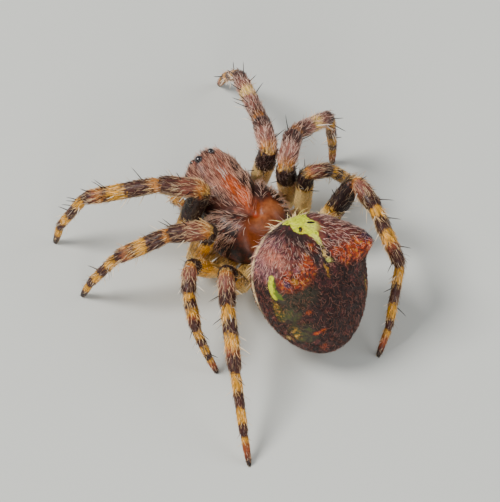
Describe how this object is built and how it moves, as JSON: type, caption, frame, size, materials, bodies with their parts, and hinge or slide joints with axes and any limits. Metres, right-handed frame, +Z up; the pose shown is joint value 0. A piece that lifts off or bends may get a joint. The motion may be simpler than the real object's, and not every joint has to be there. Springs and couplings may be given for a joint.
{
  "type": "orb-weaving spider model, gibbaranea gibbosa",
  "caption": "Still, life-size model of a humped orb-weaving spider standing on its feet, with banded legs, a low head region and a high abdomen with shoulder humps.",
  "frame": {"origin": "middle of the bounding box, on the floor that the feet stand on", "axes": "+Z up, the head towards -Y and the spider's left side towards +X"},
  "size_m": [0.009, 0.0108, 0.0039],
  "materials": {
    "carapace": "hairy satin",
    "abdomen": "short-haired matt",
    "underside": "satin",
    "chelicera": "satin",
    "coxa": "satin",
    "femur": "hairy satin",
    "banded_leg": "hairy satin",
    "eye": "gloss"
  },
  "bodies": {
    "root": {"abdomen": "abdomen", "carapace": "carapace", "chelicera_left": "chelicera", "chelicera_right": "chelicera", "eye_front_lateral_left": "eye", "eye_front_lateral_right": "eye", "eye_front_median_left": "eye", "eye_front_median_right": "eye", "eye_rear_lateral_left": "eye", "eye_rear_lateral_right": "eye", "eye_rear_median_left": "eye", "eye_rear_median_right": "eye", "leg1_left_coxa": "coxa", "leg1_left_femur": "femur", "leg1_left_foot": "banded_leg", "leg1_left_tibia": "banded_leg", "leg1_right_coxa": "coxa", "leg1_right_femur": "femur", "leg1_right_foot": "banded_leg", "leg1_right_tibia": "banded_leg", "leg2_left_coxa": "coxa", "leg2_left_femur": "femur", "leg2_left_foot": "banded_leg", "leg2_left_tibia": "banded_leg", "leg2_right_coxa": "coxa", "leg2_right_femur": "femur", "leg2_right_foot": "banded_leg", "leg2_right_tibia": "banded_leg", "leg3_left_coxa": "coxa", "leg3_left_femur": "femur", "leg3_left_foot": "banded_leg", "leg3_left_tibia": "banded_leg", "leg3_right_coxa": "coxa", "leg3_right_femur": "femur", "leg3_right_foot": "banded_leg", "leg3_right_tibia": "banded_leg", "leg4_left_coxa": "coxa", "leg4_left_femur": "femur", "leg4_left_foot": "banded_leg", "leg4_left_tibia": "banded_leg", "leg4_right_coxa": "coxa", "leg4_right_femur": "femur", "leg4_right_foot": "banded_leg", "leg4_right_tibia": "banded_leg", "palp_left": "banded_leg", "palp_right": "banded_leg", "pedicel": "underside", "spinnerets": "underside", "sternum": "underside"}
  },
  "joints": []
}
